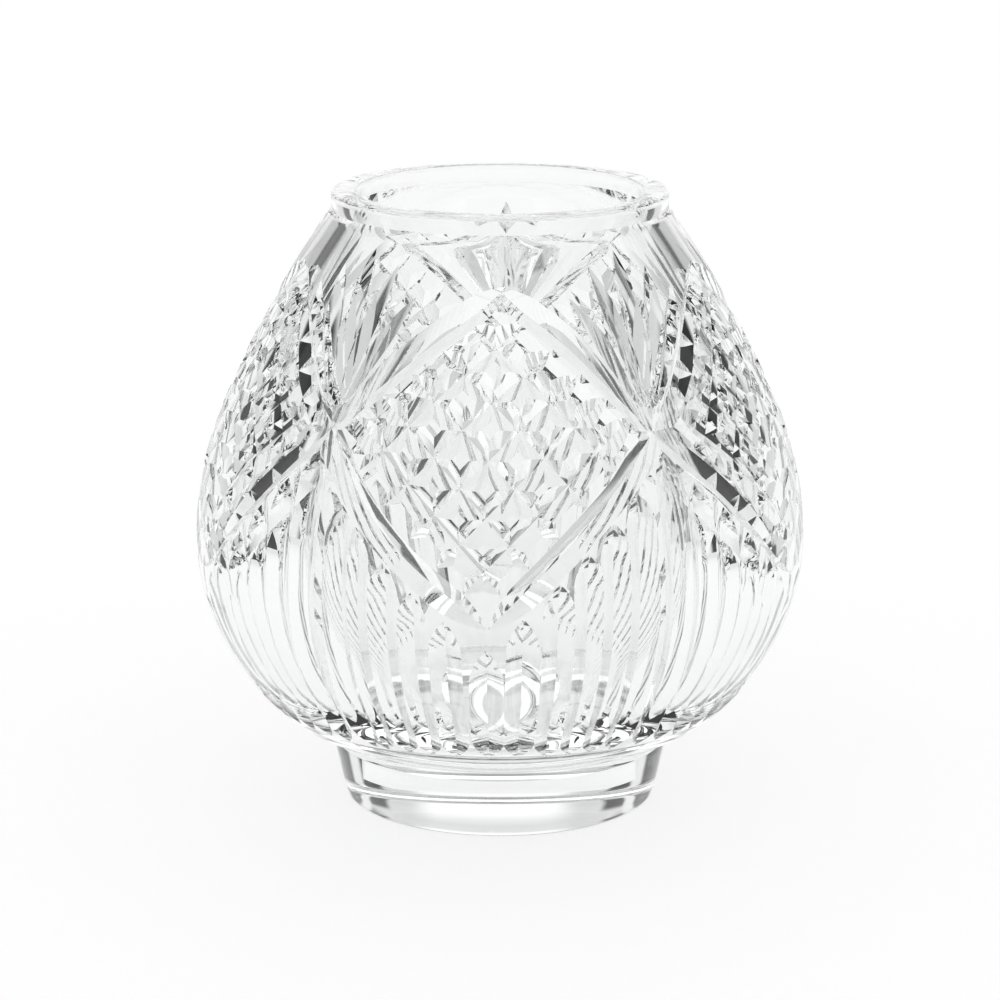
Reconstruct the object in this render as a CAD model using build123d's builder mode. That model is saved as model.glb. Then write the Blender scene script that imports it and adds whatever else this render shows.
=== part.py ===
"""Rose bowl vase: a heavy cut glass bowl fused to a solid round foot.

Millimetres, +Z up. The origin is the middle of the face that the vase stands on.
The front is towards -Y, where one of the five diamonds is centred. Turns are degrees
round the axis from the front, and positive turns go towards +X.
"""
import os
from math import atan2, cos, degrees, hypot, radians, sin, sqrt

from build123d import *

# Outline of the bowl: points that the outside passes through, from the foot up
height = 178.0
seat_height = 18.0
underside_radius = 48.8
underside_height = 20.5
lower_radius = 64.0
lower_height = 28.2
widest_radius = 87.5
widest_height = 77.5
shoulder_radius = 80.2
shoulder_height = 114.0
neck_radius = 47.8
neck_height = 173.0

# Wall and edges of the bowl
wall = 7.2
mouth_radius = 40.7
rim_edge = 1.2
mouth_edge = 0.8
seam_fillet = 1.5

# Foot
foot_base_radius = 45.0
foot_edge = 0.8
hollow_radius = 38.0
hollow_depth = 1.2

# Counts of the pattern: diamonds with fans between them, over a band of flutes
diamonds = 5
lines = 5
flutes = 60

# Levels on the outside, as shares of the outline from the underside to the neck
top_tip_share = 0.910
node_share = 0.677
bottom_tip_share = 0.390
flute_end_share = 0.122

# Borders of a diamond, the widest cuts
border_width = 8.2
border_depth = 2.7
border_run_at_top = 3.0
border_run_at_node = 9.0
border_run_at_bottom = 1.5

# Lattice lines of a diamond, parallel to its borders
line_width = 6.2
line_depth = 2.2
first_line_share = 0.13
line_step_share = 0.165
line_end_share = 0.055

# Rays of a fan, from just over a node: turns from the node, and levels of the tips
ray_width = 6.0
ray_depth = 2.0
ray_root_share = 0.72
ray_root_spread_share = 0.12
ray_turns = (-17.1, -10.2, -0.3, 10.2, 17.1)
ray_tip_shares = (0.895, 0.940, 0.960, 0.940, 0.895)

# Flutes: upright cuts with their tops just under the borders
flute_width = 9.3
flute_depth = 2.4
flute_gap = 6.2

# How far a cutter reaches past the glass
overrun = 3.0

# Halvings of the search for the glass along a line
halvings = 40

# Worked out from the sizes above
sector = 360 / diamonds
node_turn = sector / 2
flute_turn = 360 / flutes


def arc_through(start, normal, end):
    """Centre, radius and both normals of the arc from start to end, square to normal at start."""
    across = end[0] - start[0]
    up = end[1] - start[1]
    lean = across * cos(radians(normal)) + up * sin(radians(normal))
    radius = -(across**2 + up**2) / (2 * lean)
    centre = (start[0] - radius * cos(radians(normal)), start[1] - radius * sin(radians(normal)))
    end_normal = degrees(atan2((end[1] - centre[1]) / radius, (end[0] - centre[0]) / radius))
    return centre, radius, normal, end_normal


def backwards(arc):
    """The same arc, run from its other end."""
    return arc[0], arc[1], arc[3], arc[2]


widest = (widest_radius, widest_height)
shoulder = (shoulder_radius, shoulder_height)
lower = (lower_radius, lower_height)
shoulder_arc = arc_through(widest, 0, shoulder)
neck_arc = arc_through(shoulder, shoulder_arc[3], (neck_radius, neck_height))
belly_arc = arc_through(widest, 0, lower)
under_arc = arc_through(lower, belly_arc[3], (underside_radius, underside_height))
outline = [backwards(under_arc), backwards(belly_arc), shoulder_arc, neck_arc]
arc_lengths = [abs(radius * radians(last - first)) for centre, radius, first, last in outline]
outline_length = sum(arc_lengths)


def on_arc(arc, normal, inset=0):
    """Point of an arc's outline, moved inwards by inset, where the outline faces along normal."""
    centre, radius, first, last = arc
    reach = radius - inset
    return centre[0] + reach * cos(radians(normal)), centre[1] + reach * sin(radians(normal))


def on_outline(share):
    """Radius, height and normal of the outside at a share of the outline's length."""
    left = share * outline_length
    for arc, length in zip(outline, arc_lengths):
        if left <= length or arc is outline[-1]:
            normal = arc[2] + (arc[3] - arc[2]) * left / length
            radius, level = on_arc(arc, normal)
            return radius, level, normal
        left -= length


def outside_radius(level):
    """Radius of the outside at a height."""
    arc = outline[-1]
    for step in reversed(outline):
        if level < on_arc(step, step[3])[1]:
            arc = step
    centre, radius, first, last = arc
    return centre[0] + sqrt(max(radius**2 - (level - centre[1]) ** 2, 0))


def on_glass(turn, share):
    """Point on the outside and the outward normal there."""
    radius, level, normal = on_outline(share)
    way = Vector(sin(radians(turn)), -cos(radians(turn)), 0)
    up = Vector(0, 0, 1)
    return way * radius + up * level, way * cos(radians(normal)) + up * sin(radians(normal))


def proud(point):
    """How far a point stands outside the glass, level with it."""
    return hypot(point.X, point.Y) - outside_radius(point.Z)


def v_cutter(start, end, width, depth, run_at_start=0, run_at_end=0):
    """V-edged cutter on a flat arc, deepest halfway and level with the glass at both ends."""
    first, first_normal = on_glass(*start)
    last, last_normal = on_glass(*end)
    along = (last - first).normalized()
    first = first - along * run_at_start
    last = last + along * run_at_end
    outward = first_normal + last_normal
    across = along.cross(outward).normalized()
    outward = across.cross(along).normalized()

    # the ends go back onto the glass, and the middle of the glass lies over the chord
    ends = []
    for point in (first, last):
        ends.append(seated(point, outward))
    first, last = ends
    middle = (first + last) / 2
    half = (last - first).length / 2
    along = (last - first).normalized()
    outward = across.cross(along).normalized()
    crown = (seated(middle, outward) - middle).dot(outward) - depth

    # the cutter's edge is a round arc through both ends and the sunk middle
    radius = (half**2 + crown**2) / (2 * abs(crown))
    side = 1 if crown > 0 else -1
    centre = middle + outward * (crown - side * radius)
    spoke = outward * side
    swing = degrees(atan2(half, radius - abs(crown))) + degrees(overrun / radius)
    first_spoke = spoke.rotate(Axis((0, 0, 0), across), -swing)
    rise = depth + overrun
    spread = width / 2 * rise / depth
    with BuildPart() as cutter:
        with BuildSketch(Plane(origin=centre, x_dir=first_spoke, z_dir=first_spoke.cross(across))):
            with BuildLine():
                Polyline(
                    (radius, 0),
                    (radius + side * rise, spread),
                    (radius + side * rise, -spread),
                    close=True,
                )
            make_face()
        revolve(axis=Axis(centre, across), revolution_arc=2 * swing)
    return cutter.part


def seated(point, outward):
    """The place where a line through point, along outward, meets the outside of the glass."""
    low, high = -wall, neck_radius
    for _ in range(halvings):
        half = (low + high) / 2
        if proud(point + outward * half) > 0:
            high = half
        else:
            low = half
    return point + outward * low


def border_share(turn):
    """Level of a lower border, at a turn from the middle of its diamond."""
    return bottom_tip_share + (node_share - bottom_tip_share) * abs(turn) / node_turn


def between(start, end, share):
    """Place part of the way from one place on the glass to another."""
    return tuple(a + (b - a) * share for a, b in zip(start, end))


def border_cutters(hand):
    """The upper and lower border on one side of a diamond."""
    top = (0, top_tip_share)
    node = (hand * node_turn, node_share)
    bottom = (0, bottom_tip_share)
    upper = v_cutter(top, node, border_width, border_depth, border_run_at_top, border_run_at_node)
    lower = v_cutter(bottom, node, border_width, border_depth, border_run_at_bottom, border_run_at_node)
    return [upper, lower]


def line_cutters(hand):
    """Lattice lines of one direction, each from an upper border to the lower border opposite."""
    top = (0, top_tip_share)
    bottom = (0, bottom_tip_share)
    cutters = []
    for count in range(lines):
        share = first_line_share + line_step_share * count
        start = between((-hand * node_turn, node_share), top, share)
        end = between(bottom, (hand * node_turn, node_share), share)
        first = between(start, end, line_end_share)
        last = between(end, start, line_end_share)
        cutters.append(v_cutter(first, last, line_width, line_depth))
    return cutters


def ray_cutters():
    """A fan of rays that spread upwards from one node."""
    cutters = []
    for turn, tip_share in zip(ray_turns, ray_tip_shares):
        root = (node_turn + turn * ray_root_spread_share, ray_root_share)
        tip = (node_turn + turn, tip_share)
        cutters.append(v_cutter(root, tip, ray_width, ray_depth))
    return cutters


def flute_cutters():
    """The upright flutes of one sector, from under a bottom tip to the next."""
    cutters = []
    gap_share = flute_gap / outline_length
    for count in range(flutes // diamonds):
        turn = flute_turn * count
        nearest = min(turn, sector - turn)
        top = (turn, border_share(nearest) - gap_share)
        cutters.append(v_cutter((turn, flute_end_share), top, flute_width, flute_depth))
    return cutters


# Cuts of one sector, in groups whose cuts don't share a tip or an edge
right_upper, right_lower = border_cutters(1)
left_upper, left_lower = border_cutters(-1)
upright = flute_cutters()
fan = ray_cutters()
pattern = [upright[0::2], upright[1::2], [right_upper, left_lower], [right_lower, left_upper]]
pattern += [line_cutters(1), line_cutters(-1), fan[0::2], fan[1::2]]

# Bowl: one wall turned round the axis, then cut all round
neck_centre, neck_curve = neck_arc[0], neck_arc[1]
mouth_share = (mouth_radius - neck_centre[0]) / (neck_curve - wall)
mouth_level = neck_centre[1] + (neck_curve - wall) * sqrt(1 - mouth_share**2)
floor_radius, floor_height = on_arc(under_arc, -90, wall)

with BuildPart() as bowl:
    with BuildSketch(Plane.XZ) as wall_section:
        with BuildLine():
            Polyline(
                (0, floor_height),
                (0, seat_height),
                (underside_radius, seat_height),
                (underside_radius, underside_height),
            )
            for arc in outline:
                half_way = (arc[2] + arc[3]) / 2
                ThreePointArc(on_arc(arc, arc[2]), on_arc(arc, half_way), on_arc(arc, arc[3]))
            Polyline(
                (neck_radius, neck_height),
                (neck_radius, height),
                (mouth_radius, height),
                (mouth_radius, mouth_level),
            )
            inner_normals = [-90, belly_arc[3], 0, shoulder_arc[3]]
            inner_normals.append(degrees(atan2(sqrt(1 - mouth_share**2), mouth_share)))
            for arc, first, last in zip(outline, inner_normals, inner_normals[1:]):
                half_way = (first + last) / 2
                ThreePointArc(on_arc(arc, first, wall), on_arc(arc, half_way, wall), on_arc(arc, last, wall))
            Line((floor_radius, floor_height), (0, floor_height))
        make_face()
        fillet(wall_section.vertices().sort_by_distance((neck_radius, height))[0], rim_edge)
        fillet(wall_section.vertices().sort_by_distance((mouth_radius, height))[0], mouth_edge)
        fillet(wall_section.vertices().sort_by_distance((underside_radius, underside_height))[0], seam_fillet)
    revolve(axis=Axis.Z)
    for group in pattern:
        with PolarLocations(0, diamonds):
            add(group, mode=Mode.SUBTRACT, clean=False)

# Foot: a solid disc that narrows downwards, hollowed a little to stand on a ring
with BuildPart() as foot:
    with BuildSketch(Plane.XZ) as foot_section:
        with BuildLine():
            TangentArc((0, hollow_depth), (hollow_radius, 0), tangent=(1, 0))
            Polyline(
                (hollow_radius, 0),
                (foot_base_radius, 0),
                (underside_radius, seat_height),
                (0, seat_height),
                (0, hollow_depth),
            )
        make_face()
        fillet(foot_section.vertices().sort_by_distance((foot_base_radius, 0))[0], foot_edge)
    revolve(axis=Axis.Z)

bowl.part.label = "bowl"
foot.part.label = "foot"
os.makedirs("parts", exist_ok=True)
export_step(bowl.part, "parts/bowl.step")
export_step(foot.part, "parts/foot.step")
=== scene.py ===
from math import asin, atan2, cos, degrees, pi, radians, sin, sqrt

import bmesh
import bpy
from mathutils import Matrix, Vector


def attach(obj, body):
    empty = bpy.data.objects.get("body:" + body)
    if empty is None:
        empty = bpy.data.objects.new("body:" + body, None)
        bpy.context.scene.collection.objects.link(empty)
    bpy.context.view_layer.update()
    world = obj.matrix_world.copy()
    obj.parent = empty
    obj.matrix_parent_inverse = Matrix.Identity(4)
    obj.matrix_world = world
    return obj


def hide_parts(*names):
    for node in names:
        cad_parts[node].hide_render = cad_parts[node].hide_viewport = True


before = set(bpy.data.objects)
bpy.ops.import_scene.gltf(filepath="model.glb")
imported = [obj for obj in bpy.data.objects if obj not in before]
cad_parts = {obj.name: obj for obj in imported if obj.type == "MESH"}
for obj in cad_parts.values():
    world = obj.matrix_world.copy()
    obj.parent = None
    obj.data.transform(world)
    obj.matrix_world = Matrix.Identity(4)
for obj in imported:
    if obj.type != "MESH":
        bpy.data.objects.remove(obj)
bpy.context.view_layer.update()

# Outline of the glass in metres from the foot up, each point as radius and height
MM = 0.001
HEIGHT = 178 * MM
SEAT = 18 * MM
UNDERSIDE = (48.8 * MM, 20.5 * MM)
LOWER = (64.0 * MM, 28.2 * MM)
WIDEST = (87.5 * MM, 77.5 * MM)
SHOULDER = (80.2 * MM, 114.0 * MM)
NECK = (47.8 * MM, 173.0 * MM)
WALL = 7.2 * MM
MOUTH = 40.7 * MM
RIM_EDGE = 1.2 * MM
MOUTH_EDGE = 0.8 * MM
FOOT_BASE = 45.0 * MM
FOOT_EDGE = 1.8 * MM
FOOT_RING = 41.5 * MM
FOOT_ROWS = (3.5 * MM, 7 * MM, 11 * MM, 14.5 * MM)
HOLLOW = (38.0 * MM, 1.2 * MM)

# Inside, the wall is even down to this share of the outline
BED = 0.09

# A rounded bed closes it below: the rise of its floor, and the handles and points of its curve
BED_RISE = 1.5 * MM
BED_REACH = 0.55
BED_SLOPE = 0.8
BED_ROWS = 24

# Extra rows of points: across the seat, under the outline, over the neck and inside the mouth
SEAT_ROWS = 6
UNDER_ROW = 1.0 * MM
NECK_ROW = 2 * MM
MOUTH_ROW = 1.5 * MM
MOUTH_CLEARANCE = 0.2 * MM

# A point of a section nearer than this to the axis is one point for the whole ring
ON_AXIS = 1e-7

# Pattern: five diamonds with fans between them, over sixty flutes, in shares of the outline
DIAMONDS = 5
FLUTES = 60
SECTOR = 360 / DIAMONDS
FLUTE_STEP = 360 / FLUTES
TOP_TIP = 0.910
NODE = 0.677
BOTTOM_TIP = 0.390
FLUTE_END = 0.122

# Glass left between the borders and the tops of the flutes
FLUTE_GAP = 6.2 * MM

# Width and depth of each kind of cut, and its run-outs where the wheel comes and goes
BORDER_WIDTH, BORDER_DEPTH, BORDER_RUNS = 8.6 * MM, 2.7 * MM, (12 * MM, 15 * MM)
LINE_WIDTH, LINE_DEPTH, LINE_RUNS = 8.0 * MM, 2.6 * MM, (10 * MM, 10 * MM)
RAY_WIDTH, RAY_DEPTH, RAY_RUNS = 6.4 * MM, 2.5 * MM, (7 * MM, 16 * MM)
FLUTE_WIDTH, FLUTE_DEPTH, FLUTE_RUNS = 9.8 * MM, 2.9 * MM, (10 * MM, 10 * MM)

# How far the wheel's wedge stands out of the glass, and the step between points along a cut
WHEEL_REACH = 3 * MM
WHEEL_STEP = 1.0 * MM

# Lift of a whole cut, so that the wheel is off the glass at both ends
WHEEL_LIFT = 0.02 * MM

# Search for the glass along a line: how far inside it starts, and how often it halves the way
SEARCH_START = 8 * MM
HALVINGS = 24

# Borders start this share of half a leg above the tip, with this many points to each half leg
BORDER_START = 0.07
BORDER_POINTS = 16

# Where the lattice's lines leave the upper and meet the lower borders, and how far short they stop
LINE_STARTS = (0.137, 0.285, 0.446, 0.618, 0.803)
LINE_ENDS = (0.141, 0.276, 0.423, 0.583, 0.755)
LINE_INSETS = (0.029, 0.049)

# Rays of a fan: turns from its node and shares of the outline at their tips, even and leaning
RAY_TURNS = (-18.0, -10.4, 0.0, 10.4, 18.0)
RAY_TIPS = (0.897, 0.940, 0.966, 0.940, 0.897)
LEANING_TURNS = (20.3, 13.1, 2.9, -7.3, -15.2)
LEANING_TIPS = (0.898, 0.936, 0.966, 0.945, 0.895)
RAY_START = 0.705
RAY_SPREAD = 0.08

# The cutter's hand, diamond by diamond: how far the tips stray round the bowl in degrees,
# and to which side each fan leans
TIP_STRAY = (2.5, 2.0, -1.0, 1.0, -2.0)
LATTICE_TOP_STRAY = (2.2, 1.6, -0.8, 1.2, -1.8)
LATTICE_BOTTOM_STRAY = (-1.3, 0.4, 0.8, -0.6, 0.3)
FAN_LEAN = (1, 0, 0, 0, -1)

# How far the middle of each leg of a border bows up from straight, left and right, in shares
UPPER_BOWS = ((0.020, 0.026), (0.024, 0.025), (0.026, 0.022), (0.025, 0.024), (0.023, 0.026))
LOWER_BOWS = (
    (-0.0225, 0.003),
    (-0.006, -0.010),
    (-0.008, -0.004),
    (-0.010, -0.007),
    (-0.005, -0.009),
)

# How far the flutes under the front diamond stand from their even places, in degrees
FRONT_FLUTES = (1.8, -0.9, -1.1, -1.7, -1.8, -0.3, 0.3, 0.8, 0.3, -0.6, -1.2)
FLUTES_ASIDE = len(FRONT_FLUTES) // 2

# Crystal: its tint and index, the depth and detail of its ripple, the grain and range of its haze
TINT = (0.96, 0.967, 0.965, 1)
INDEX = 1.53
RIPPLE_DEPTH = 0.2 * MM
RIPPLE_DETAIL = 2
HAZE_SIZE = 45
HAZE_DETAIL = 4
HAZE_RANGE = (0.4, 0.8)

# Angles over which an edge of the cutters or the blank, and of the finished glass, is sharp
SHARP = radians(30)
CREASE = radians(22)


def arc_through(start, normal, end):
    """Centre, radius and both normals of the arc from start to end, square to normal at start."""
    across = end[0] - start[0]
    up = end[1] - start[1]
    lean = across * cos(radians(normal)) + up * sin(radians(normal))
    radius = -(across**2 + up**2) / (2 * lean)
    centre = (start[0] - radius * cos(radians(normal)), start[1] - radius * sin(radians(normal)))
    return centre, radius, normal, degrees(atan2(end[1] - centre[1], end[0] - centre[0]))


def backwards(arc):
    """The same arc, run from its other end."""
    return arc[0], arc[1], arc[3], arc[2]


shoulder_arc = arc_through(WIDEST, 0, SHOULDER)
neck_arc = arc_through(SHOULDER, shoulder_arc[3], NECK)
belly_arc = arc_through(WIDEST, 0, LOWER)
under_arc = arc_through(LOWER, belly_arc[3], UNDERSIDE)
OUTLINE = [backwards(under_arc), backwards(belly_arc), shoulder_arc, neck_arc]
LENGTHS = [abs(radius * radians(last - first)) for centre, radius, first, last in OUTLINE]
OUTLINE_LENGTH = sum(LENGTHS)


def on_outline(share, inset=0.0):
    """Radius, height and normal of the glass at a share of the outline, moved inwards by inset."""
    left = share * OUTLINE_LENGTH
    for arc, length in zip(OUTLINE, LENGTHS):
        if left <= length or arc is OUTLINE[-1]:
            break
        left -= length
    centre, radius, first, last = arc
    normal = radians(first + (last - first) * left / length)
    reach = radius - inset
    return centre[0] + reach * cos(normal), centre[1] + reach * sin(normal), normal


def on_glass(turn, share, depth=0.0):
    """Point on the glass, sunk by depth, and the outward normal there."""
    radius, level, normal = on_outline(share, depth)
    way = Vector((sin(radians(turn)), -cos(radians(turn)), 0))
    return way * radius + Vector((0, 0, level)), way * cos(normal) + Vector((0, 0, sin(normal)))


def linked(name, data):
    """New object in the scene that holds a mesh or a lens."""
    piece = bpy.data.objects.new(name, data)
    bpy.context.scene.collection.objects.link(piece)
    return piece


# Sections and what turns round the axis
def turned(name, section, columns):
    """Closed mesh that a section of (radius, height) points makes when it turns round the axis."""
    build = bmesh.new()
    rings = []
    for radius, level in section:
        if radius < ON_AXIS:
            rings.append([build.verts.new((0, 0, level))] * columns)
            continue
        ring = []
        for column in range(columns):
            turn = 2 * pi * column / columns
            ring.append(build.verts.new((radius * sin(turn), -radius * cos(turn), level)))
        rings.append(ring)
    for low, high in zip(rings, rings[1:]):
        for column in range(columns):
            after = (column + 1) % columns
            corners = [low[column], low[after], high[after], high[column]]
            build.faces.new(list(dict.fromkeys(corners)))
    bmesh.ops.recalc_face_normals(build, faces=build.faces)
    for face in build.faces:
        face.smooth = True
    mesh = bpy.data.meshes.new(name)
    build.to_mesh(mesh)
    build.free()
    return linked(name, mesh)


def rounded(corner, before, after, radius, steps=5):
    """Points of a round edge at a corner of a section, between its neighbours on both sides."""
    corner = Vector(corner)
    start = corner + (Vector(before) - corner).normalized() * radius
    end = corner + (Vector(after) - corner).normalized() * radius
    middle = start + end - corner
    points = []
    for step in range(steps + 1):
        swing = pi / 2 * step / steps
        points.append(tuple(middle + (start - middle) * cos(swing) + (end - middle) * sin(swing)))
    return points


def bowl_section(rows=92, inner_rows=70):
    """Section of the uncut bowl, from the middle of its seat, up outside and down inside."""
    section = [(UNDERSIDE[0] * row / SEAT_ROWS, SEAT) for row in range(SEAT_ROWS + 1)]
    section.append((UNDERSIDE[0], UNDERSIDE[1] - UNDER_ROW))
    section += [on_outline(row / rows)[:2] for row in range(rows + 1)]
    section.append((NECK[0], NECK[1] + NECK_ROW))
    section += rounded((NECK[0], HEIGHT), NECK, (MOUTH, HEIGHT), RIM_EDGE)
    section += rounded((MOUTH, HEIGHT), (NECK[0], HEIGHT), (MOUTH, NECK[1]), MOUTH_EDGE)
    section.append((MOUTH, NECK[1] + MOUTH_ROW))
    inside = []
    for row in range(inner_rows + 1):
        share = BED + (1 - BED) * row / inner_rows
        radius, level, normal = on_outline(share, WALL)
        if radius > MOUTH + MOUTH_CLEARANCE:
            inside.append((radius, level))
    side, level, normal = on_outline(BED, WALL)
    centre, under_radius = OUTLINE[0][:2]
    floor = centre[1] - (under_radius - WALL) + BED_RISE
    slope = Vector((sin(normal), -cos(normal)))
    flat = Vector((side * BED_REACH, floor))
    handle = Vector((side, level)) + slope * BED_SLOPE * (level - floor) / cos(normal)
    bed = []
    for row in range(BED_ROWS):
        share = row / BED_ROWS
        spot = Vector((0, floor)) * (1 - share) ** 3 + flat * 3 * share * (1 - share) ** 2
        spot += handle * 3 * share**2 * (1 - share) + Vector((side, level)) * share**3
        bed.append(tuple(spot))
    return section + list(reversed(bed + inside))


def foot_section(hollow_rows=12):
    """Section of the foot, from the middle of its hollow, out over the ring and up to the seat."""
    dome = (HOLLOW[0] ** 2 + HOLLOW[1] ** 2) / (2 * HOLLOW[1])
    section = []
    for row in range(hollow_rows + 1):
        radius = HOLLOW[0] * row / hollow_rows
        section.append((radius, HOLLOW[1] - dome + sqrt(dome**2 - radius**2)))
    section.append((FOOT_RING, 0))
    section += rounded((FOOT_BASE, 0), (HOLLOW[0], 0), (UNDERSIDE[0], SEAT), FOOT_EDGE)
    for level in FOOT_ROWS:
        section.append((FOOT_BASE + (UNDERSIDE[0] - FOOT_BASE) * (level / SEAT), level))
    section += [(UNDERSIDE[0] * row / SEAT_ROWS, SEAT) for row in range(SEAT_ROWS, -1, -1)]
    return section


# Wheel cuts: paths on the glass of points and normals, each with its depth along it
def between(start, end, share):
    """Place part of the way from one place on the glass to another."""
    return tuple(a + (b - a) * share for a, b in zip(start, end))


def path_through(places):
    """Path over the glass through places (turn, share), straight from one to the next."""
    path = [on_glass(*places[0])]
    for start, end in zip(places, places[1:]):
        reach = (on_glass(*end)[0] - on_glass(*start)[0]).length
        count = max(2, round(reach / WHEEL_STEP))
        path += [on_glass(*between(start, end, mark / count)) for mark in range(1, count + 1)]
    return path


def eased(places, count):
    """Places on the smooth curve that runs through some places, count to a leg."""
    first = between(places[1], places[0], 2)
    last = between(places[-2], places[-1], 2)
    given = [first, *places, last]
    curve = [places[0]]
    for before, start, end, after in zip(given, given[1:], given[2:], given[3:]):
        for mark in range(1, count + 1):
            part = mark / count
            spot = []
            for a, b, c, d in zip(before, start, end, after):
                bend = (2 * a - 5 * b + 4 * c - d) * part**2 + (3 * b - 3 * c + d - a) * part**3
                spot.append(b + ((c - a) * part + bend) / 2)
            curve.append(tuple(spot))
    return curve


def skin_at(level):
    """Radius of the glass at a height, and the slope of its normal there."""
    for centre, radius, first, last in OUTLINE:
        if level < centre[1] + radius * sin(radians(last)):
            break
    rise = min(1, max(-1, (level - centre[1]) / radius))
    return centre[0] + radius * sqrt(1 - rise**2), asin(rise)


def seated(point, outward):
    """Where a line from a point outward leaves the glass."""
    low, high = -SEARCH_START, WIDEST[0] / 2
    for halving in range(HALVINGS):
        middle = (low + high) / 2
        spot = point + outward * middle
        if spot.xy.length > skin_at(spot.z)[0]:
            high = middle
        else:
            low = middle
    return point + outward * low


def wheel_path(start, end):
    """Path that the flat plane of the wheel leaves on the glass from one place to another."""
    first, first_normal = on_glass(*start)
    last, last_normal = on_glass(*end)
    along = (last - first).normalized()
    across = along.cross(first_normal + last_normal).normalized()
    outward = across.cross(along)
    count = max(8, round((last - first).length / WHEEL_STEP))
    path = []
    for mark in range(count + 1):
        spot = seated(first.lerp(last, mark / count), outward)
        slope = skin_at(spot.z)[1]
        way = spot.xy.normalized() * cos(slope)
        normal = Vector((way.x, way.y, sin(slope)))
        path.append((spot, (normal - across * normal.dot(across)).normalized()))
    return path


def sunk(path, depth, run_start, run_end):
    """Path sunk to its depth, with round run-outs; between them it keeps every second point."""
    lengths = [0.0]
    for start, end in zip(path, path[1:]):
        lengths.append(lengths[-1] + (end[0] - start[0]).length)
    stations = []
    for place, ((point, normal), along) in enumerate(zip(path, lengths)):
        come = max(0, 1 - along / run_start)
        go = max(0, 1 - (lengths[-1] - along) / run_end)
        if max(come, go) > 0 or place % 2 == 0:
            sink = depth * (1 - max(come, go) ** 2) - WHEEL_LIFT
            stations.append((point - normal * sink, normal))
    return stations


def border_cuts():
    """Long cuts from each top tip over a node to the neighbour's bottom tip, both ways round."""
    cuts = []
    for diamond in range(DIAMONDS):
        middle = SECTOR * diamond
        top = (middle + TIP_STRAY[diamond], TOP_TIP)
        for side, way in ((0, -1), (1, 1)):
            node = (middle + way * SECTOR / 2, NODE)
            bottom = (middle + way * SECTOR, BOTTOM_TIP)
            neighbour = (diamond + way) % DIAMONDS
            upper = between(top, node, 0.5)
            lower = between(node, bottom, 0.5)
            upper = (upper[0], upper[1] + UPPER_BOWS[diamond][side])
            lower = (lower[0], lower[1] + LOWER_BOWS[neighbour][1 - side])
            places = [between(top, upper, -BORDER_START), upper, node, lower, bottom]
            path = path_through(eased(places, BORDER_POINTS))
            cuts.append(sunk(path, BORDER_DEPTH, *BORDER_RUNS))
    return cuts


def lattice_cuts():
    """The crossing lines inside each diamond."""
    cuts = []
    for diamond in range(DIAMONDS):
        middle = SECTOR * diamond
        top = (middle + LATTICE_TOP_STRAY[diamond], TOP_TIP)
        bottom = (middle + LATTICE_BOTTOM_STRAY[diamond], BOTTOM_TIP)
        for way in (-1, 1):
            near = (middle + way * SECTOR / 2, NODE)
            far = (middle - way * SECTOR / 2, NODE)
            for leave, meet in zip(LINE_STARTS, LINE_ENDS):
                start = between(near, top, leave)
                end = between(bottom, far, meet)
                first = between(start, end, LINE_INSETS[0])
                last = between(end, start, LINE_INSETS[1])
                cuts.append(sunk(wheel_path(first, last), LINE_DEPTH, *LINE_RUNS))
    return cuts


def ray_cuts():
    """Fans of five rays that spread upwards from each node."""
    cuts = []
    for diamond in range(DIAMONDS):
        node = SECTOR * (diamond + 0.5)
        lean = FAN_LEAN[diamond]
        turns, tips = RAY_TURNS, RAY_TIPS
        if lean:
            turns, tips = [lean * turn for turn in LEANING_TURNS], LEANING_TIPS
        for turn, tip in zip(turns, tips):
            path = path_through([(node + turn * RAY_SPREAD, RAY_START), (node + turn, tip)])
            cuts.append(sunk(path, RAY_DEPTH, *RAY_RUNS))
    return cuts


def flute_cuts():
    """Upright flutes all round, each with its top just under the borders."""
    cuts = []
    for diamond in range(DIAMONDS):
        for count in range(-FLUTES_ASIDE, FLUTES // DIAMONDS - FLUTES_ASIDE):
            stray = 0
            if diamond == 0 and count <= FLUTES_ASIDE:
                stray = FRONT_FLUTES[count + FLUTES_ASIDE]
            turn = FLUTE_STEP * count + stray
            aside = min(abs(turn) / (SECTOR / 2), 1)
            # A parabola, like the border's bow, that is whole halfway along the leg
            bow = LOWER_BOWS[diamond][turn > 0] * 4 * aside * (1 - aside)
            level = BOTTOM_TIP + (NODE - BOTTOM_TIP) * aside + bow
            top = (SECTOR * diamond + turn, level - FLUTE_GAP / OUTLINE_LENGTH)
            path = path_through([(SECTOR * diamond + turn, FLUTE_END), top])
            cuts.append(sunk(path, FLUTE_DEPTH, *FLUTE_RUNS))
    return cuts


def drawn(name, cuts):
    """Object that holds cuts as lines, with the glass's normal kept at each point."""
    points, edges, ups = [], [], []
    for cut in cuts:
        first = len(points)
        for point, up in cut:
            points.append(point)
            ups.extend(up)
        edges += [(k, k + 1) for k in range(first, len(points) - 1)]
    mesh = bpy.data.meshes.new(name)
    mesh.from_pydata(points, edges, [])
    kept = mesh.attributes.new("up", "FLOAT_VECTOR", "POINT")
    kept.data.foreach_set("vector", ups)
    return linked(name, mesh)


# Node trees
def tree_with(name, inputs):
    """New geometry tree with a geometry input and output, and other named inputs."""
    tree = bpy.data.node_groups.new(name, "GeometryNodeTree")
    tree.interface.new_socket("Geometry", in_out="INPUT", socket_type="NodeSocketGeometry")
    for label, kind in inputs:
        tree.interface.new_socket(label, in_out="INPUT", socket_type=kind)
    tree.interface.new_socket("Geometry", in_out="OUTPUT", socket_type="NodeSocketGeometry")
    return tree, tree.nodes.new("NodeGroupInput"), tree.nodes.new("NodeGroupOutput")


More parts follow.
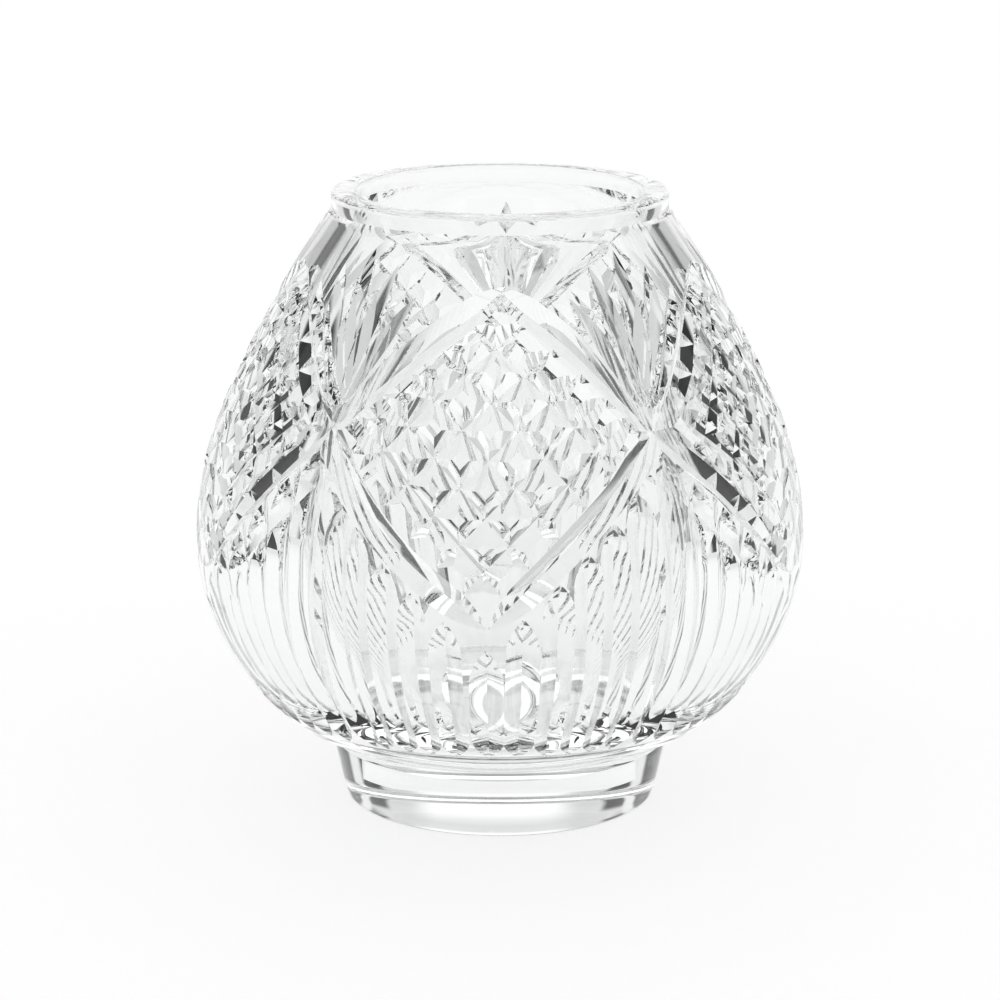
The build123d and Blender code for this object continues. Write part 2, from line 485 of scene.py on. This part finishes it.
def math_node(tree, operation, *values):
    """Result of a math node on sockets or numbers."""
    node = tree.nodes.new("ShaderNodeMath")
    node.operation = operation
    for socket, value in zip(node.inputs, values):
        if isinstance(value, (int, float)):
            socket.default_value = value
        else:
            tree.links.new(value, socket)
    return node.outputs[0]


# A unit circle with three points is a triangle: how tall it is, and half its width
TRIANGLE_HEIGHT = 1.5
TRIANGLE_HALF = sqrt(3) / 2


def wheel_tree():
    """Tree that draws a V-edged wheel along each line, which leaves one closed cutter a line."""
    sizes = [(label, "NodeSocketFloat") for label in ("Width", "Depth", "Reach")]
    tree, given, made = tree_with("wheel_edge", sizes)
    curve = tree.nodes.new("GeometryNodeMeshToCurve")
    up = tree.nodes.new("GeometryNodeInputNamedAttribute")
    up.data_type = "FLOAT_VECTOR"
    up.inputs["Name"].default_value = "up"
    normal = tree.nodes.new("GeometryNodeSetCurveNormal")
    normal.mode = "FREE"
    edge = tree.nodes.new("GeometryNodeCurvePrimitiveCircle")
    edge.mode = "RADIUS"
    edge.inputs["Resolution"].default_value = 3
    edge.inputs["Radius"].default_value = 1
    rise = math_node(tree, "ADD", given.outputs["Depth"], given.outputs["Reach"])
    slope = math_node(tree, "DIVIDE", given.outputs["Width"], given.outputs["Depth"])
    spread = math_node(tree, "MULTIPLY", math_node(tree, "MULTIPLY", slope, 0.5), rise)
    size = tree.nodes.new("ShaderNodeCombineXYZ")
    tree.links.new(math_node(tree, "DIVIDE", rise, TRIANGLE_HEIGHT), size.inputs["X"])
    tree.links.new(math_node(tree, "DIVIDE", spread, TRIANGLE_HALF), size.inputs["Y"])
    size.inputs["Z"].default_value = 1
    shift = tree.nodes.new("ShaderNodeCombineXYZ")
    tree.links.new(math_node(tree, "DIVIDE", rise, TRIANGLE_HEIGHT), shift.inputs["X"])
    shape = tree.nodes.new("GeometryNodeTransform")
    shape.inputs["Rotation"].default_value = (0, 0, pi)
    sweep = tree.nodes.new("GeometryNodeCurveToMesh")
    sweep.inputs["Fill Caps"].default_value = True
    tree.links.new(given.outputs["Geometry"], curve.inputs["Mesh"])
    tree.links.new(curve.outputs["Curve"], normal.inputs["Curve"])
    tree.links.new(up.outputs[0], normal.inputs["Normal"])
    tree.links.new(edge.outputs["Curve"], shape.inputs["Geometry"])
    tree.links.new(size.outputs["Vector"], shape.inputs["Scale"])
    tree.links.new(shift.outputs["Vector"], shape.inputs["Translation"])
    tree.links.new(normal.outputs["Curve"], sweep.inputs["Curve"])
    tree.links.new(shape.outputs["Geometry"], sweep.inputs["Profile Curve"])
    tree.links.new(sweep.outputs["Mesh"], made.inputs["Geometry"])
    return tree


def with_shine(tree, mesh):
    """Keeps a mesh's smooth normals on its corners, with its edges sharp where they turn hard."""
    turn = tree.nodes.new("GeometryNodeInputMeshEdgeAngle")
    gentle = tree.nodes.new("FunctionNodeCompare")
    gentle.operation = "LESS_THAN"
    gentle.inputs["B"].default_value = SHARP
    faces = tree.nodes.new("GeometryNodeSetShadeSmooth")
    edges = tree.nodes.new("GeometryNodeSetShadeSmooth")
    edges.domain = "EDGE"
    normal = tree.nodes.new("GeometryNodeInputNormal")
    kept = tree.nodes.new("GeometryNodeStoreNamedAttribute")
    kept.data_type = "FLOAT_VECTOR"
    kept.domain = "CORNER"
    kept.inputs["Name"].default_value = "shine"
    tree.links.new(mesh, faces.inputs["Geometry"])
    tree.links.new(faces.outputs["Geometry"], edges.inputs["Geometry"])
    tree.links.new(turn.outputs["Unsigned Angle"], gentle.inputs["A"])
    tree.links.new(gentle.outputs["Result"], edges.inputs["Shade Smooth"])
    tree.links.new(edges.outputs["Geometry"], kept.inputs["Geometry"])
    tree.links.new(normal.outputs["Normal"], kept.inputs["Value"])
    return kept.outputs["Geometry"]


FAMILIES = ("Borders", "Lattice", "Rays", "Flutes")


def cutting_tree():
    """Tree that takes all the wheel cuts of the families out of the blank."""
    inputs = []
    for family in FAMILIES:
        inputs.append((family, "NodeSocketObject"))
        inputs.append((family + " Width", "NodeSocketFloat"))
        inputs.append((family + " Depth", "NodeSocketFloat"))
    inputs.append(("Reach", "NodeSocketFloat"))
    inputs += [("Polished", "NodeSocketMaterial"), ("Facets", "NodeSocketMaterial")]
    tree, given, made = tree_with("cut_glass", inputs)
    wheel = wheel_tree()
    cutters = tree.nodes.new("GeometryNodeJoinGeometry")
    for family in FAMILIES:
        info = tree.nodes.new("GeometryNodeObjectInfo")
        tree.links.new(given.outputs[family], info.inputs["Object"])
        sweep = tree.nodes.new("GeometryNodeGroup")
        sweep.node_tree = wheel
        tree.links.new(info.outputs["Geometry"], sweep.inputs["Geometry"])
        tree.links.new(given.outputs[family + " Width"], sweep.inputs["Width"])
        tree.links.new(given.outputs[family + " Depth"], sweep.inputs["Depth"])
        tree.links.new(given.outputs["Reach"], sweep.inputs["Reach"])
        tree.links.new(sweep.outputs["Geometry"], cutters.inputs["Geometry"])
    ground = tree.nodes.new("GeometryNodeStoreNamedAttribute")
    ground.data_type = "BOOLEAN"
    ground.domain = "FACE"
    ground.inputs["Name"].default_value = "ground"
    ground.inputs["Value"].default_value = True
    tree.links.new(with_shine(tree, cutters.outputs["Geometry"]), ground.inputs["Geometry"])
    island = tree.nodes.new("GeometryNodeInputMeshIsland")
    apart = tree.nodes.new("GeometryNodeSplitToInstances")
    apart.domain = "FACE"
    tree.links.new(ground.outputs["Geometry"], apart.inputs["Geometry"])
    tree.links.new(island.outputs["Island Index"], apart.inputs["Group ID"])
    cut = tree.nodes.new("GeometryNodeMeshBoolean")
    cut.operation = "DIFFERENCE"
    cut.solver = "MANIFOLD"
    tree.links.new(with_shine(tree, given.outputs["Geometry"]), cut.inputs["Mesh 1"])
    tree.links.new(apart.outputs["Instances"], cut.inputs["Mesh 2"])
    real = tree.nodes.new("GeometryNodeRealizeInstances")
    tree.links.new(cut.outputs["Mesh"], real.inputs["Geometry"])
    marked = tree.nodes.new("GeometryNodeInputNamedAttribute")
    marked.data_type = "BOOLEAN"
    marked.inputs["Name"].default_value = "ground"
    whole = tree.nodes.new("GeometryNodeSetMaterial")
    facets = tree.nodes.new("GeometryNodeSetMaterial")
    tree.links.new(real.outputs["Geometry"], whole.inputs["Geometry"])
    tree.links.new(given.outputs["Polished"], whole.inputs["Material"])
    tree.links.new(whole.outputs["Geometry"], facets.inputs["Geometry"])
    tree.links.new(marked.outputs["Attribute"], facets.inputs["Selection"])
    tree.links.new(given.outputs["Facets"], facets.inputs["Material"])
    tree.links.new(facets.outputs["Geometry"], made.inputs["Geometry"])
    return tree


def grown(piece, tree, values):
    """Plain mesh that a tree makes of a piece, with the tree's inputs set by name."""
    modifier = piece.modifiers.new(tree.name, "NODES")
    modifier.node_group = tree
    for item in tree.interface.items_tree:
        if item.item_type == "SOCKET" and item.in_out == "INPUT" and item.name in values:
            modifier[item.identifier] = values[item.name]
    graph = bpy.context.evaluated_depsgraph_get()
    mesh = bpy.data.meshes.new_from_object(piece.evaluated_get(graph))
    piece.modifiers.remove(modifier)
    return mesh


# Finishes
def crystal(name, ripple, ripple_size, smooth, haze):
    """Colourless crystal: clear, with a faint ripple and a haze that varies a little."""
    material = bpy.data.materials.new(name)
    material.use_nodes = True
    nodes, links = material.node_tree.nodes, material.node_tree.links
    shader = nodes["Principled BSDF"]
    shader.inputs["Base Color"].default_value = TINT
    shader.inputs["Transmission Weight"].default_value = 1
    shader.inputs["IOR"].default_value = INDEX
    place = nodes.new("ShaderNodeTexCoord")
    wave = nodes.new("ShaderNodeTexNoise")
    wave.inputs["Scale"].default_value = ripple_size
    wave.inputs["Detail"].default_value = RIPPLE_DETAIL
    links.new(place.outputs["Object"], wave.inputs["Vector"])
    bump = nodes.new("ShaderNodeBump")
    bump.inputs["Strength"].default_value = ripple
    bump.inputs["Distance"].default_value = RIPPLE_DEPTH
    links.new(wave.outputs["Fac"], bump.inputs["Height"])
    links.new(bump.outputs["Normal"], shader.inputs["Normal"])
    touch = nodes.new("ShaderNodeTexNoise")
    touch.inputs["Scale"].default_value = HAZE_SIZE
    touch.inputs["Detail"].default_value = HAZE_DETAIL
    links.new(place.outputs["Object"], touch.inputs["Vector"])
    spread = nodes.new("ShaderNodeMapRange")
    spread.inputs["From Min"].default_value = HAZE_RANGE[0]
    spread.inputs["From Max"].default_value = HAZE_RANGE[1]
    spread.inputs["To Min"].default_value = smooth
    spread.inputs["To Max"].default_value = haze
    links.new(touch.outputs["Fac"], spread.inputs["Value"])
    links.new(spread.outputs["Result"], shader.inputs["Roughness"])
    return material


def joined_glass():
    """Where the foot is fused on, the glass is whole, so light goes straight through."""
    material = bpy.data.materials.new("fused_seat")
    material.use_nodes = True
    nodes, links = material.node_tree.nodes, material.node_tree.links
    nodes.remove(nodes["Principled BSDF"])
    through = nodes.new("ShaderNodeBsdfTransparent")
    links.new(through.outputs["BSDF"], nodes["Material Output"].inputs["Surface"])
    return material


polished = crystal("polished_crystal", ripple=0.08, ripple_size=60, smooth=0, haze=0.02)
facets = crystal("cut_crystal", ripple=0.06, ripple_size=120, smooth=0.02, haze=0.05)
fused = joined_glass()

# A face belongs to the seat this near its level and at least this level itself
SEAT_SLACK = 1e-5
SEAT_LEVEL = 0.99

# A kept normal is used when it is at least this long and fits its face's own normal this well
SHINE_LENGTH = 0.5
SHINE_FIT = 0.7


def fuse_seat(mesh, material):
    """Gives the flat seat between bowl and foot the material of whole glass."""
    mesh.materials.append(material)
    index = len(mesh.materials) - 1
    for face in mesh.polygons:
        if abs(face.center.z - SEAT) < SEAT_SLACK and abs(face.normal.z) > SEAT_LEVEL:
            face.material_index = index


def polish(mesh):
    """Shades each face with the normals that its surface had before it was cut."""
    kept = mesh.attributes["shine"].data
    normals = [Vector(corner.vector) for corner in mesh.corner_normals]
    for face in mesh.polygons:
        for corner in face.loop_indices:
            shine = Vector(kept[corner].vector)
            if shine.dot(face.normal) < 0:
                shine.negate()
            if shine.length > SHINE_LENGTH and shine.normalized().dot(face.normal) > SHINE_FIT:
                normals[corner] = shine.normalized()
    mesh.normals_split_custom_set(normals)
    mesh.attributes.remove(mesh.attributes["shine"])


# Bowl
blank = turned("bowl_blank", bowl_section(), columns=360)
tree = cutting_tree()
sizes = {
    "Borders": drawn("border_cuts", border_cuts()),
    "Borders Width": BORDER_WIDTH,
    "Borders Depth": BORDER_DEPTH,
    "Lattice": drawn("lattice_cuts", lattice_cuts()),
    "Lattice Width": LINE_WIDTH,
    "Lattice Depth": LINE_DEPTH,
    "Rays": drawn("ray_cuts", ray_cuts()),
    "Rays Width": RAY_WIDTH,
    "Rays Depth": RAY_DEPTH,
    "Flutes": drawn("flute_cuts", flute_cuts()),
    "Flutes Width": FLUTE_WIDTH,
    "Flutes Depth": FLUTE_DEPTH,
    "Reach": WHEEL_REACH,
    "Polished": polished,
    "Facets": facets,
}
mesh = grown(blank, tree, sizes)
for family in FAMILIES:
    bpy.data.objects.remove(sizes[family])
bpy.data.objects.remove(blank)
mesh.name = "bowl"
bowl = linked("cut_bowl", mesh)
bowl.data.set_sharp_from_angle(angle=CREASE)
polish(bowl.data)
fuse_seat(bowl.data, fused)

# Foot
foot = turned("cast_foot", foot_section(), columns=240)
foot.data.materials.append(polished)
foot.data.set_sharp_from_angle(angle=CREASE)
fuse_seat(foot.data, fused)

for piece, node in ((bowl, "bowl"), (foot, "foot")):
    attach(piece, "root")
    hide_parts(node)

# Studio: a white room with dark cards at both sides, a pale floor and the camera.
# Brightness of the walls, of the ceiling over the object and of the backdrop that the camera sees.
ROOM = 0.72
CEILING = 0.30
BACKDROP = 1.0

# Heights over the horizon between which the walls go over into the ceiling, in degrees
CEILING_EDGE = (32, 75)

# Each card: turns from the backdrop, heights over the horizon, softness of its edge, brightness
CARDS = [
    ((-10, 20), (-15, 24), 6, 1.08),
    ((22, 34), (-15, 16), 4, 0.65),
    ((34, 46), (-15, 22), 2, 0.05),
    ((46, 54), (-15, 30), 2, 0.90),
    ((54, 84), (-15, 26), 2, 0.02),
    ((84, 94), (-15, 30), 2, 0.90),
    ((94, 112), (-15, 30), 3, 0.05),
    ((150, 190), (-30, 30), 8, 0.60),
]

# Floor: half its side, its colour and roughness, and its painted light: how brightly it glows by
# the middle and far out, and where that glow falls off
FLOOR_HALF = 6.0
PAPER = (0.62, 0.62, 0.62, 1)
PAPER_ROUGHNESS = 0.9
PAINTED_LIGHT = (0.68, 0.5)
PAINTED_LIGHT_EDGE = (0.5, 1.6)

# Camera as fitted to the outline in the photograph, in metres and radians
TURN = radians(2.18)
DISTANCE = 1.0362
CAMERA_HEIGHT = 0.3522
PITCH = 0.2505

# Focal length and width of the picture in pixels, and width of the sensor in millimetres
FOCAL_LENGTH = 3705.7
PICTURE_WIDTH = 1000
SENSOR_WIDTH = 36

# Bounces that light needs to find its way out of the cuts
CLEAR_BOUNCES = 64
GLOSSY_BOUNCES = 9


class Sums:
    """Short calls for the math nodes of one tree."""

    def __init__(self, tree):
        self.tree = tree

    def do(self, operation, *values):
        """Result of one math node on sockets or numbers."""
        return math_node(self.tree, operation, *values)

    def rise(self, value, start, end):
        """0 before start and 1 after end, smooth between them."""
        node = self.tree.nodes.new("ShaderNodeMapRange")
        node.interpolation_type = "SMOOTHSTEP"
        node.inputs["From Min"].default_value = start
        node.inputs["From Max"].default_value = end
        self.tree.links.new(value, node.inputs["Value"])
        return node.outputs["Result"]

    def band(self, value, low, high, soft):
        """1 between low and high and 0 outside, with soft edges."""
        start = self.rise(value, low - soft, low + soft)
        return self.do("SUBTRACT", start, self.rise(value, high - soft, high + soft))

    def blend(self, share, first, second):
        """First where share is 0 and second where it is 1."""
        return self.do("MULTIPLY_ADD", share, self.do("SUBTRACT", second, first), first)


def room_world():
    """World whose brightness follows the direction: walls, ceiling and cards."""
    world = bpy.data.worlds.new("white_room")
    world.use_nodes = True
    tree = world.node_tree
    sums = Sums(tree)
    place = tree.nodes.new("ShaderNodeTexCoord")
    parts = tree.nodes.new("ShaderNodeSeparateXYZ")
    tree.links.new(place.outputs["Generated"], parts.inputs["Vector"])
    aside = sums.do("ABSOLUTE", sums.do("ARCTAN2", parts.outputs["X"], parts.outputs["Y"]))
    above = sums.do("ARCSINE", parts.outputs["Z"])
    overhead = sums.rise(above, *[radians(height) for height in CEILING_EDGE])
    level = sums.blend(overhead, ROOM, CEILING)
    for (near, far), (low, high), soft, bright in CARDS:
        across = sums.band(aside, radians(near), radians(far), radians(soft))
        up = sums.band(above, radians(low), radians(high), radians(soft))
        level = sums.blend(sums.do("MULTIPLY", across, up), level, bright)
    seen = tree.nodes.new("ShaderNodeLightPath")
    level = sums.blend(seen.outputs["Is Camera Ray"], level, BACKDROP)
    tree.links.new(level, tree.nodes["Background"].inputs["Strength"])
    tree.nodes["Background"].inputs["Color"].default_value = (1, 1, 1, 1)
    return world


def white_paper():
    """Matt white paper with painted light: a glow of its own that falls off to both sides."""
    paper = bpy.data.materials.new("white_paper")
    paper.use_nodes = True
    nodes, links = paper.node_tree.nodes, paper.node_tree.links
    sheet = nodes["Principled BSDF"]
    sheet.inputs["Base Color"].default_value = PAPER
    sheet.inputs["Roughness"].default_value = PAPER_ROUGHNESS
    sheet.inputs["Specular IOR Level"].default_value = 0
    sheet.inputs["Emission Color"].default_value = (1, 1, 1, 1)
    place = nodes.new("ShaderNodeTexCoord")
    parts = nodes.new("ShaderNodeSeparateXYZ")
    links.new(place.outputs["Object"], parts.inputs["Vector"])
    sums = Sums(paper.node_tree)
    # Painted light: the paper glows, brighter in the middle and dimmer far out to both sides,
    # which also lightens the shadow under the vase
    painted_falloff = sums.rise(sums.do("ABSOLUTE", parts.outputs["X"]), *PAINTED_LIGHT_EDGE)
    links.new(sums.blend(painted_falloff, *PAINTED_LIGHT), sheet.inputs["Emission Strength"])
    return paper


def paper_floor():
    """Square floor of white paper, level with the foot's base."""
    mesh = bpy.data.meshes.new("floor")
    corners = [(-1, -1), (1, -1), (1, 1), (-1, 1)]
    mesh.from_pydata([(x * FLOOR_HALF, y * FLOOR_HALF, 0) for x, y in corners], [], [(0, 1, 2, 3)])
    mesh.materials.append(white_paper())
    return linked("floor", mesh)


def photo_camera():
    """Camera that sees the vase as the photograph does."""
    lens = bpy.data.cameras.new("camera")
    lens.lens = SENSOR_WIDTH * FOCAL_LENGTH / PICTURE_WIDTH
    camera = linked("camera", lens)
    camera.location = (DISTANCE * sin(TURN), -DISTANCE * cos(TURN), CAMERA_HEIGHT)
    camera.rotation_euler = (pi / 2 - PITCH, 0, TURN)
    return camera


floor = paper_floor()

scene = bpy.context.scene
scene.world = room_world()
scene.view_settings.view_transform = "Standard"
scene.cycles.max_bounces = CLEAR_BOUNCES
scene.cycles.transmission_bounces = CLEAR_BOUNCES
scene.cycles.glossy_bounces = GLOSSY_BOUNCES
scene.camera = photo_camera()
